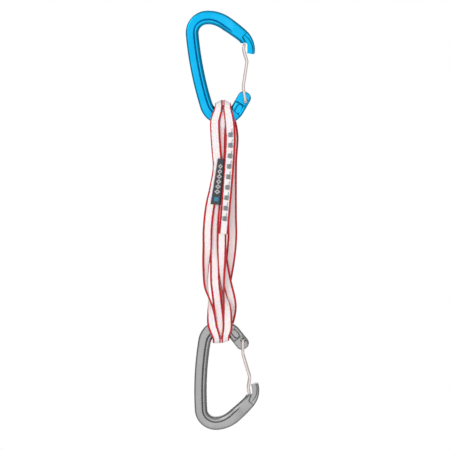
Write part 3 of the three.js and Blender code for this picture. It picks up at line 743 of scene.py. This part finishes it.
def cut(body, cutters):
    """Takes the cutters out of the body and uses them up."""
    for bm in cutters:
        bmesh.ops.recalc_face_normals(bm, faces=bm.faces)
        bmesh.ops.scale(bm, vec=(MM, MM, MM), verts=bm.verts)
        mesh = bpy.data.meshes.new("cutter")
        bm.to_mesh(mesh)
        bm.free()
        tool = bpy.data.objects.new("cutter", mesh)
        bpy.context.scene.collection.objects.link(tool)
        modifier = body.modifiers.new("cut", "BOOLEAN")
        modifier.operation = "DIFFERENCE"
        modifier.solver = "EXACT"
        modifier.object = tool
        view = bpy.context.evaluated_depsgraph_get()
        result = bpy.data.meshes.new_from_object(body.evaluated_get(view))
        body.modifiers.clear()
        old, body.data = body.data, result
        bpy.data.meshes.remove(old)
        bpy.data.objects.remove(tool)
        bpy.data.meshes.remove(mesh)


def break_edges(body, width):
    """Breaks the sharp edges that machining leaves on the forging."""
    bm = bmesh.new()
    bm.from_mesh(body.data)
    bmesh.ops.dissolve_degenerate(bm, dist=1e-6, edges=bm.edges)
    sharp = [e for e in bm.edges if e.is_manifold and e.calc_face_angle(0) > math.radians(MACHINED_ANGLE)]
    bmesh.ops.bevel(
        bm,
        geom=sharp,
        affect="EDGES",
        offset=width * MM,
        segments=2,
        profile=0.5,
        material=-1,
        clamp_overlap=True,
    )
    bm.to_mesh(body.data)
    bm.free()
    body.data.shade_smooth()
    body.data.set_sharp_from_angle(angle=math.radians(40))


def carabiner_body(name, material, matrix):
    """The forging: a skin over the bar's rings, less the gate's slot, notch and pin hole."""
    rings = [bar_ring(distance) for distance in bar_stations()]
    around = len(rings[0])
    ends = {0: sum(rings[0], Vector()) / around, len(rings) + 1: sum(rings[-1], Vector()) / around}

    def place(row, share):
        return ends[row] if row in ends else rings[row - 1][round(share * around)]

    body = piece(skin(len(rings) + 1, around, place), name, material)
    pin_hole = cross_hole(PIVOT, WIRE_DIAMETER / 2 + GATE_CLEARANCE)
    notch = cross_hole(NOTCH, NOTCH_RADIUS)
    cut(body, [gate_slot(), crossbar_sweep(), notch, pin_hole, countersink(-1), countersink(1)])
    break_edges(body, BROKEN_EDGE)
    body.data.transform(matrix)
    return body


# ---------------------------------------------------------------- wire gate


def bent_path(corners, radius, steps):
    """Points along straight runs whose corners are rounded by quadratic curves."""
    points = [corners[0]]
    for before, corner, after in zip(corners, corners[1:], corners[2:]):
        # Two bends never share a stretch
        reach = min(radius, 0.45 * (before - corner).length, 0.45 * (after - corner).length)
        enter = corner + (before - corner).normalized() * reach
        leave = corner + (after - corner).normalized() * reach
        for i in range(steps + 1):
            t = i / steps
            points.append(enter.lerp(corner, t).lerp(corner.lerp(leave, t), t))
    return points + [corners[-1]]


def wire_gate(name, matrix):
    """One bent wire: two legs, the crossbar, and its ends turned into the arm's hole."""
    half = SEAT_HALF + GATE_CLEARANCE + WIRE_DIAMETER / 2
    along = CROSSBAR - PIVOT
    out = Vector((along.y, -along.x)).normalized()
    leg = [PIVOT] + [PIVOT + along * share + out * offset for share, offset in LEG_KINKS] + [CROSSBAR]

    def at(point, y):
        return Vector((point.x, y, point.y))

    front = [at(p, -half) for p in leg]
    back = [at(p, half) for p in reversed(leg)]
    corners = [at(PIVOT, -PIN_GAP / 2)] + front + back + [at(PIVOT, PIN_GAP / 2)]
    curve = bpy.data.curves.new(name, "CURVE")
    curve.dimensions = "3D"
    curve.bevel_depth = WIRE_DIAMETER / 2 * MM
    curve.bevel_resolution = 6
    curve.use_fill_caps = True
    line = curve.splines.new("POLY")
    points = bent_path(corners, WIRE_BEND, WIRE_BEND_STEPS)
    line.points.add(len(points) - 1)
    for spot, point in zip(line.points, points):
        spot.co = (*(point * MM), 1)
    rod = bpy.data.objects.new(name + "_path", curve)
    bpy.context.scene.collection.objects.link(rod)
    view = bpy.context.evaluated_depsgraph_get()
    bm = bmesh.new()
    bm.from_mesh(rod.evaluated_get(view).to_mesh())
    bpy.data.objects.remove(rod)
    bpy.data.curves.remove(curve)
    bmesh.ops.remove_doubles(bm, verts=bm.verts, dist=1e-7)
    return piece(moved(bm, matrix), name, WIRE_STEEL)


# ---------------------------------------------------------------- sling


def joint_anchor(name):
    """A joint's place in the frame, in millimetres."""
    found = [joint for joint in frame["joints"] if joint["name"] == name]
    return Vector(found[0]["pos_m"]) / MM


UPPER_HANG = joint_anchor("sling_swing")
LOWER_HANG = joint_anchor("lower_carabiner_swing")
HANG_LENGTH = (UPPER_HANG - LOWER_HANG).z
HALF_WAY = (UPPER_HANG + LOWER_HANG).z / 2
LAYER = WEBBING_THICKNESS + LAYER_GAP
MIDDLE = (FLANGE_HALF + WEBBING_THICKNESS / 2 + BIGHT_CLEARANCE) / LAYER
SIDE = MIDDLE + 1

# Route of each strand, from the upper to the lower carabiner: share of the way
# down, X in millimetres from the line between the hangs, layers behind the middle plane, and
# turn of the width in degrees
STRANDS = {
    "splice_top": [
        (0.08, 5.4, -SIDE, 0),
        (0.14, 6.3, -3.09, 0),
        (0.2, 6.1, -3.05, 0),
        (0.3, 4.9, -2.95, 0),
        (0.4, 3.3, -2.91, 0),
        (0.47, 2.2, -2.86, 0),
        (0.54, 1.1, -2.82, 0),
    ],
    "splice_base": [
        (0.13, 6.1, -2.14, 0),
        (0.2, 5.5, -2.09, 0),
        (0.3, 4, -2, 0),
        (0.4, 1.8, -1.95, 0),
        (0.47, 0.3, -1.91, 0),
        (0.56, -0.3, -1.91, 0),
        (0.64, 0, -1.95, -25),
        (0.72, 0.6, -1.95, -62),
        (0.79, 2, -1.73, -96),
        (0.84, 4.1, -2.09, -142),
        (0.89, 4.8, -3, -172),
        (0.93, 4.9, -SIDE, -180),
    ],
    "front_left": [
        (0.08, -6, -SIDE, 0),
        (0.13, -5.9, -2.59, 0),
        (0.2, -4.9, -2, 0),
        (0.27, -3.9, -1.91, 0),
        (0.35, -6.4, -1.91, 0),
        (0.43, -9.8, -1.91, 0),
        (0.52, -11.6, -1.91, 0),
        (0.6, -11.9, -1.86, 20),
        (0.68, -13, -1.73, 52),
        (0.76, -12.6, -1.64, 72),
        (0.82, -9.6, -1.73, 104),
        (0.87, -8.2, -2.45, 146),
        (0.92, -7.2, -SIDE, 180),
    ],
    "front_middle": [
        (0.095, -0.6, -MIDDLE, 0),
        (0.12, -1.2, -1.27, 0),
        (0.145, -1.4, -0.95, 0),
        (0.25, -1.8, -0.91, 0),
        (0.35, -3, -0.91, 0),
        (0.45, -4.6, -0.91, 0),
        (0.54, -5.4, -0.73, 0),
        (0.61, -5.8, -0.14, 0),
        (0.68, -5.6, 0, 0),
        (0.74, -5.4, 0, 0),
        (0.8, -4, -0.55, 0),
        (0.85, -2.8, -1.36, 0),
        (0.9, -1.6, -MIDDLE, 0),
    ],
    "back_right_to_left": [
        (0.08, 6.5, SIDE, 0),
        (0.14, 8.7, 3.09, 0),
        (0.25, 7.8, 3, 0),
        (0.47, 8, 3, 0),
        (0.55, 8.4, 3, 0),
        (0.61, 7.8, 3, 0),
        (0.66, 6.7, 3, 0),
        (0.7, 5.5, 3, 0),
        (0.76, 3.3, 3, 0),
        (0.84, -0.8, 3.05, 0),
        (0.89, -3.4, 3.14, 0),
        (0.93, -4.2, SIDE, 0),
    ],
    "back_left_to_middle": [
        (0.08, -4.6, SIDE, 0),
        (0.12, -4.6, 3.14, 0),
        (0.16, -4.4, 2.45, 0),
        (0.2, -3.8, 2.05, 0),
        (0.28, -2.8, 2, 0),
        (0.36, -3.6, 2, 0),
        (0.45, -5, 2, 0),
        (0.55, -6, 2, 0),
        (0.65, -5.4, 2, 0),
        (0.75, -3.2, 2, 0),
        (0.84, -0.8, 2.09, 0),
        (0.9, 0, MIDDLE, 0),
    ],
    "back_middle_to_right": [
        (0.1, 0, MIDDLE, 0),
        (0.14, -0.4, 1.36, 0),
        (0.18, -0.8, 1.05, 0),
        (0.3, -2.4, 1, 0),
        (0.45, -2.6, 1, 0),
        (0.58, -1.2, 1, 0),
        (0.67, 1.4, 1, 0),
        (0.74, 4, 1, 0),
        (0.81, 7.4, 1.05, 0),
        (0.845, 8.4, 2, 0),
        (0.88, 8, 3.14, 0),
        (0.93, 5.6, SIDE, 0),
    ],
}

# Where the three bights cross each bar: X from the narrow end's centre, height over the bar's
# inner edge, and tilt in degrees with the right edge towards the window
BIGHTS = {
    "upper": {"left": (-3.5, 7.1, 14), "middle": (0.2, 3.6, 0), "right": (3.7, 7, -16)},
    "lower": {"left": (-3.7, 6.8, -4), "middle": (0.2, 3.6, 0), "right": (3.7, 6.8, 0)},
}


def below_hang(share):
    """Distance below the upper hang: the stretches that pass the bars keep their length."""
    end = NARROW_RADIUS + END_BELOW_BAR
    if share < END_SHARE:
        return share / END_SHARE * end
    if share > 1 - END_SHARE:
        return HANG_LENGTH - (1 - share) / END_SHARE * end
    return lerp(end, HANG_LENGTH - end, (share - END_SHARE) / (1 - 2 * END_SHARE))


def strand(name, face, upwards=False):
    """Route points of one strand, as (point, width direction, gather, droop along the normal)."""
    points = []
    for share, x, layers, turn in STRANDS[name]:
        at = UPPER_HANG.lerp(LOWER_HANG, below_hang(share) / HANG_LENGTH)
        angle = math.radians(turn)
        width = Vector((math.cos(angle), math.sin(angle), 0)) * face
        points.append((at + Vector((x, layers * LAYER, 0)), width, 1, 0))
    return points[::-1] if upwards else points


def bight(name, end, face):
    """A bight over its bar: front to back at the top, and back to front at the bottom."""
    x, height, tilt = BIGHTS[end][name]
    radius = (MIDDLE if name == "middle" else SIDE) * LAYER
    top = end == "upper"
    up = 1 if top else -1
    spin = Matrix.Rotation(0 if top else -math.radians(LOWER_TILT), 3, "Y")
    z = height - (NARROW_RADIUS - NARROW_DEPTH)
    crest = spin @ Vector((x, 0, up * z)) + (UPPER_HANG if top else LOWER_HANG)
    angle = math.radians(tilt)
    width = spin @ Vector((math.cos(angle), 0, up * math.sin(angle))) * face
    droop = 0 if name == "middle" else BIGHT_DROOP * face
    points = []
    for turn in map(math.radians, BIGHT_ANGLES):
        round_bar = Vector((0, -up * math.cos(turn), up * (math.sin(turn) - 1))) * radius
        points.append((crest + round_bar, width, BIGHT_GATHER, droop * math.sin(turn)))
    return points


def ribbon_route():
    """The whole ribbon, from the free end of the splice's upper layer to its base layer's."""
    return (
        strand("splice_top", 1, True)
        + bight("right", "upper", 1)
        + strand("back_right_to_left", 1)
        + bight("left", "lower", 1)
        + strand("front_left", -1, True)
        + bight("left", "upper", -1)
        + strand("back_left_to_middle", -1)
        + bight("middle", "lower", -1)
        + strand("front_middle", -1, True)
        + bight("middle", "upper", -1)
        + strand("back_middle_to_right", -1)
        + bight("right", "lower", -1)
        + strand("splice_base", 1, True)
    )


def spline(values, gaps):
    """A Catmull-Rom curve through the values, whose knots are `gaps` apart."""
    first = values[0] * 2 - values[1]
    last = values[-1] * 2 - values[-2]
    knots = [first] + values + [last]
    steps = [gaps[0]] + gaps + [gaps[-1]]

    def at(place):
        i = min(int(place), len(values) - 2)
        t = place - i
        p0, p1, p2, p3 = knots[i : i + 4]
        d0, d1, d2 = steps[i : i + 3]
        leave = ((p1 - p0) / d0 - (p2 - p0) / (d0 + d1) + (p2 - p1) / d1) * d1
        arrive = ((p2 - p1) / d1 - (p3 - p1) / (d1 + d2) + (p3 - p2) / d2) * d1
        square, cube = t * t, t * t * t
        return (
            p1 * (2 * cube - 3 * square + 1)
            + leave * (cube - 2 * square + t)
            + p2 * (3 * square - 2 * cube)
            + arrive * (cube - square)
        )

    return at


def ribbon_frames():
    """frame_at(distance): the ribbon's place, tangent, width, normal, gather and droop there."""
    route = ribbon_route()
    points = [Vector(p) for p, _, _, _ in route]
    # Knots a square root of the distance apart keep the curve free of loops
    gaps = [math.sqrt((b - a).length) for a, b in zip(points, points[1:])]
    even = [1.0] * len(gaps)
    path = spline(points, gaps)
    width = spline([Vector(w) for _, w, _, _ in route], even)
    gather = spline([float(g) for _, _, g, _ in route], even)
    droop = spline([float(d) for _, _, _, d in route], even)
    spots = [i / SAMPLES_PER_SPAN for i in range((len(points) - 1) * SAMPLES_PER_SPAN + 1)]
    travelled = [0.0]
    for a, b in zip(spots, spots[1:]):
        travelled.append(travelled[-1] + (path(b) - path(a)).length)

    def frame_at(distance):
        distance = min(max(distance, 0), travelled[-1])
        i = min(bisect_right(travelled, distance), len(spots) - 1) - 1
        share = (distance - travelled[i]) / (travelled[i + 1] - travelled[i])
        spot = lerp(spots[i], spots[i + 1], share)
        step = 0.5 / SAMPLES_PER_SPAN
        low, high = max(spot - step, 0), min(spot + step, spots[-1])
        tangent = (path(high) - path(low)).normalized()
        across = width(spot)
        across = (across - tangent * across.dot(tangent)).normalized()
        return path(spot), tangent, across, tangent.cross(across), gather(spot), droop(spot)

    return frame_at, travelled[-1]


frame_at, RIBBON_LENGTH = ribbon_frames()


def ribbon_section(share):
    """Across and out, each from -1 to 1, round a flat section with full, rounded edges."""
    angle = 2 * math.pi * share
    across = math.copysign(abs(math.cos(angle)) ** 0.5, math.cos(angle))
    out = math.copysign(abs(math.sin(angle)) ** 0.75, math.sin(angle))
    return across, out


def sling_webbing():
    half, thick = WEBBING_WIDTH / 2, WEBBING_THICKNESS / 2
    rows = math.ceil(RIBBON_LENGTH / RIBBON_STEP)
    frames = [frame_at(RIBBON_LENGTH * row / rows) for row in range(rows + 1)]

    def place(row, share):
        at, _, width, normal, gather, droop = frames[row]
        across, out = ribbon_section(share)
        outer_side = 1 if at.z > HALF_WAY else -1
        from_inner = (1 + outer_side * across) / 2
        low = droop * from_inner**2
        # The side bights meet over the middle one
        meet = BIGHT_MEETING * abs(droop) / BIGHT_DROOP * (1 - from_inner) * outer_side
        # The middle is woven a little thinner than the selvedges
        body = thick * lerp(WEBBING_MIDDLE, 1, smooth(abs(across), 0.55, 0.8))
        return at + width * (across * half * gather - meet) + normal * (out * body + low)

    def uv(row, share):
        """The upper part's left selvedge is turned under, so that less of its red shows."""
        across, _ = ribbon_section(share)
        at, _, width, _, _, _ = frames[row]
        leftward = max(-across * width.x, 0)
        turned_under = SELVEDGE_UNDER * leftward * smooth(at.z, HALF_WAY, HALF_WAY + UNDER_FADE)
        return RIBBON_LENGTH * row / rows * MM, across * half * (1 - turned_under) * MM

    return piece(skin(rows, RIBBON_AROUND, place, uv), "woven_sling", WEBBING, sharp_degrees=60)


def front_of(normal):
    """The normal's side that faces the front."""
    return normal if normal.y < 0 else -normal


def bar_tack(name, distance):
    """A block of satin stitches: threads that zigzag across, each a flattened, rounded roll,
    and the thread that runs on to the next block."""
    at, tangent, width, normal, _, _ = frame_at(distance)
    front = front_of(normal)
    surface = at + front * (WEBBING_THICKNESS / 2 - THREAD_SINK)
    turn = Matrix((width, tangent, front)).transposed().to_4x4()
    pitch = TACK_HEIGHT / TACK_THREADS
    slope = math.atan2(pitch, TACK_WIDTH)
    # Middle of each thread across and along, its half length and its slant
    threads = []
    for i in range(TACK_THREADS):
        # The sines, out of step with each other, only make the threads uneven
        ragged = THREAD_UNEVEN[0] * math.sin(i * 2.4 + distance)
        long = TACK_WIDTH / 2 * (1 - THREAD_UNEVEN[1] * math.sin(i * 1.7 + distance * 3))
        along = (i + 0.5) * pitch - TACK_HEIGHT / 2
        threads.append((ragged, along, long, slope if i % 2 else -slope))
    gap = (TACK_PITCH - TACK_HEIGHT) / 2
    run_on = (RUN_ON_PLACE, TACK_HEIGHT / 2 + gap * 0.6, gap * 0.8, math.radians(RUN_ON_SLANT))
    threads.append(run_on)
    bm = bmesh.new()
    for across, along, long, slant in threads:
        flat = Matrix.Diagonal((long, THREAD_SIZE * THREAD_FLATNESS, THREAD_SIZE, 1))
        lift = Matrix.Translation((across, along, THREAD_SIZE * THREAD_LIFT))
        spot = Matrix.Translation(surface) @ turn @ lift @ Matrix.Rotation(slant, 4, "Z") @ flat
        into = Matrix.Scale(MM, 4) @ spot
        bmesh.ops.create_uvsphere(bm, u_segments=12, v_segments=8, radius=1, matrix=into)
    return piece(bm, name, THREAD)


def sling_label():
    """The woven label, folded under the splice's left edge."""
    rows, around = 60, 20
    edge = WEBBING_WIDTH / 2 + LABEL_GAP

    def place(row, share):
        along = row / rows
        at, _, width, normal, _, _ = frame_at(LABEL_START + LABEL_LENGTH * along)
        front = front_of(normal)
        across, out = ribbon_section(share)
        wide = lerp(LABEL_WIDE, LABEL_NARROW, along)
        reach = -edge - wide * (1 - across) / 2
        # It bows forward a little between its folded edges
        bow = LABEL_BOW * (1 - across * across)
        return at + width * reach + front * (bow - LABEL_SETBACK + out * LABEL_HALF)

    def uv(row, share):
        across, _ = ribbon_section(share)
        return row / rows, (1 - across) / 2

    return piece(skin(rows, around, place, uv), "woven_label", LABEL, sharp_degrees=50)


# ---------------------------------------------------------------- assembly

UPRIGHT = Matrix.Identity(4)
UPPER_CENTRE = Vector((NARROW_CENTRE.x, 0, NARROW_CENTRE.y)) * MM
UPSIDE_DOWN = Matrix.Rotation(-math.radians(LOWER_TILT), 4, "Y") @ Matrix.Rotation(math.pi, 4, "X")
LOWER_PLACE = Matrix.Translation(LOWER_HANG * MM) @ UPSIDE_DOWN @ Matrix.Translation(-UPPER_CENTRE)


def add(made, node, body, slot):
    """The piece stands for a CAD node and rides on its body."""
    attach(made, body)
    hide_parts(node)


for side, finish, slot, place in (
    ("upper", BLUE, "blue_anodised", UPRIGHT),
    ("lower", GREY, "grey_anodised", LOWER_PLACE),
):
    forging = carabiner_body(side + "_forged_body", finish, place)
    add(forging, side + "_carabiner_body", side + "_carabiner", slot)
    gate = wire_gate(side + "_bent_wire_gate", place)
    add(gate, side + "_wire_gate", side + "_gate", "gate_wire")

add(sling_webbing(), "sling_webbing", "sling", "webbing")
add(sling_label(), "sling_label", "sling", "label")
for number in range(1, TACK_COUNT + 1):
    spot = FIRST_TACK + (TACK_COUNT - number) * TACK_PITCH
    stitches = bar_tack(f"bar_tack_stitches_{number}", spot)
    add(stitches, f"bar_tack_{number}", "sling", "tack_thread")

# ---------------------------------------------------------------- studio


def seamless_paper():
    """Pale seamless paper that fades into the white background 0.6 to 0.95 m out."""
    material = bpy.data.materials.new("pale_paper")
    material.use_nodes = True
    tree = material.node_tree
    place = add_node(tree, "TexCoord", {}, "Object")
    away = add_node(tree, "VectorMath", {0: place}, "Value", operation="LENGTH")
    fade = add_node(tree, "MapRange", {"Value": away, "From Min": 0.6, "From Max": 0.95})
    fibre = add_node(tree, "TexNoise", {"Vector": place, "Scale": 300})
    shader = tree.nodes["Principled BSDF"]
    shader.inputs["Roughness"].default_value = 0.9
    tone = add_node(tree, "Mix", {0: fibre, 6: rgb("#f2f2f2"), 7: rgb("#f7f7f7")}, **MIXED)
    tree.links.new(tone, shader.inputs["Base Color"])
    clear = add_node(tree, "BsdfTransparent", {})
    seen = add_node(tree, "MixShader", {0: fade, 1: shader.outputs[0], 2: clear})
    tree.links.new(seen, tree.nodes["Material Output"].inputs["Surface"])
    return material


FLOOR_BELOW = 0.25  # the quickdraw hangs clear of the floor

bm = bmesh.new()
bmesh.ops.create_circle(bm, cap_ends=True, radius=0.8, segments=96)
bmesh.ops.translate(bm, verts=bm.verts, vec=(0, 0, CAD_BOX[0].z - FLOOR_BELOW))
floor = piece(bm, "floor", seamless_paper())

CENTRE = (CAD_BOX[0] + CAD_BOX[1]) / 2


def soft_light(name, offset, size, power):
    """A softbox at an offset from the quickdraw's centre, which it faces; power in watts."""
    light = bpy.data.lights.new(name, "AREA")
    light.shape = "RECTANGLE"
    light.size, light.size_y = size
    light.energy = power
    lamp = bpy.data.objects.new(name, light)
    lamp.location = CENTRE + Vector(offset)
    lamp.rotation_euler = (-Vector(offset)).to_track_quat("-Z", "Y").to_euler()
    lamp.visible_camera = False
    bpy.context.scene.collection.objects.link(lamp)


soft_light("front", (0.05, -1.2, -0.1), (1.5, 1.5), 10)
soft_light("key", (-0.6, -0.95, 0.6), (0.5, 0.5), 3.5)
soft_light("top", (0.1, -0.2, 1.2), (0.8, 0.8), 1.6)
soft_light("back", (0.1, 1.3, 0), (1.3, 1.3), 8)

world = bpy.data.worlds.new("studio")
bpy.context.scene.world = world
world.use_nodes = True
sky = world.node_tree
around = add_node(sky, "Background", {"Color": rgb("#ffffff"), "Strength": 0.42})
background = add_node(sky, "Background", {"Color": rgb("#ffffff"), "Strength": 1.0})
seen_directly = add_node(sky, "LightPath", {}, "Is Camera Ray")
studio_light = add_node(sky, "MixShader", {0: seen_directly, 1: around, 2: background})
sky.links.new(studio_light, sky.nodes["World Output"].inputs["Surface"])
bpy.context.scene.view_settings.view_transform = "Standard"

# The view is from the front, a little above the level, through a long lens
VIEW_DISTANCE = 0.9
VIEW_ELEVATION = math.radians(5.7)
VIEW_TARGET = Vector((0.0131, 0, -0.1599))
SENSOR_WIDTH = 36
LENS = 89.1
camera = bpy.data.objects.new("camera", bpy.data.cameras.new("camera"))
camera.data.sensor_width = SENSOR_WIDTH
camera.data.lens = LENS
to_camera = Vector((0, -math.cos(VIEW_ELEVATION), math.sin(VIEW_ELEVATION)))
camera.location = VIEW_TARGET + to_camera * VIEW_DISTANCE
camera.rotation_euler = to_camera.to_track_quat("Z", "Y").to_euler()
bpy.context.scene.collection.objects.link(camera)
bpy.context.scene.camera = camera
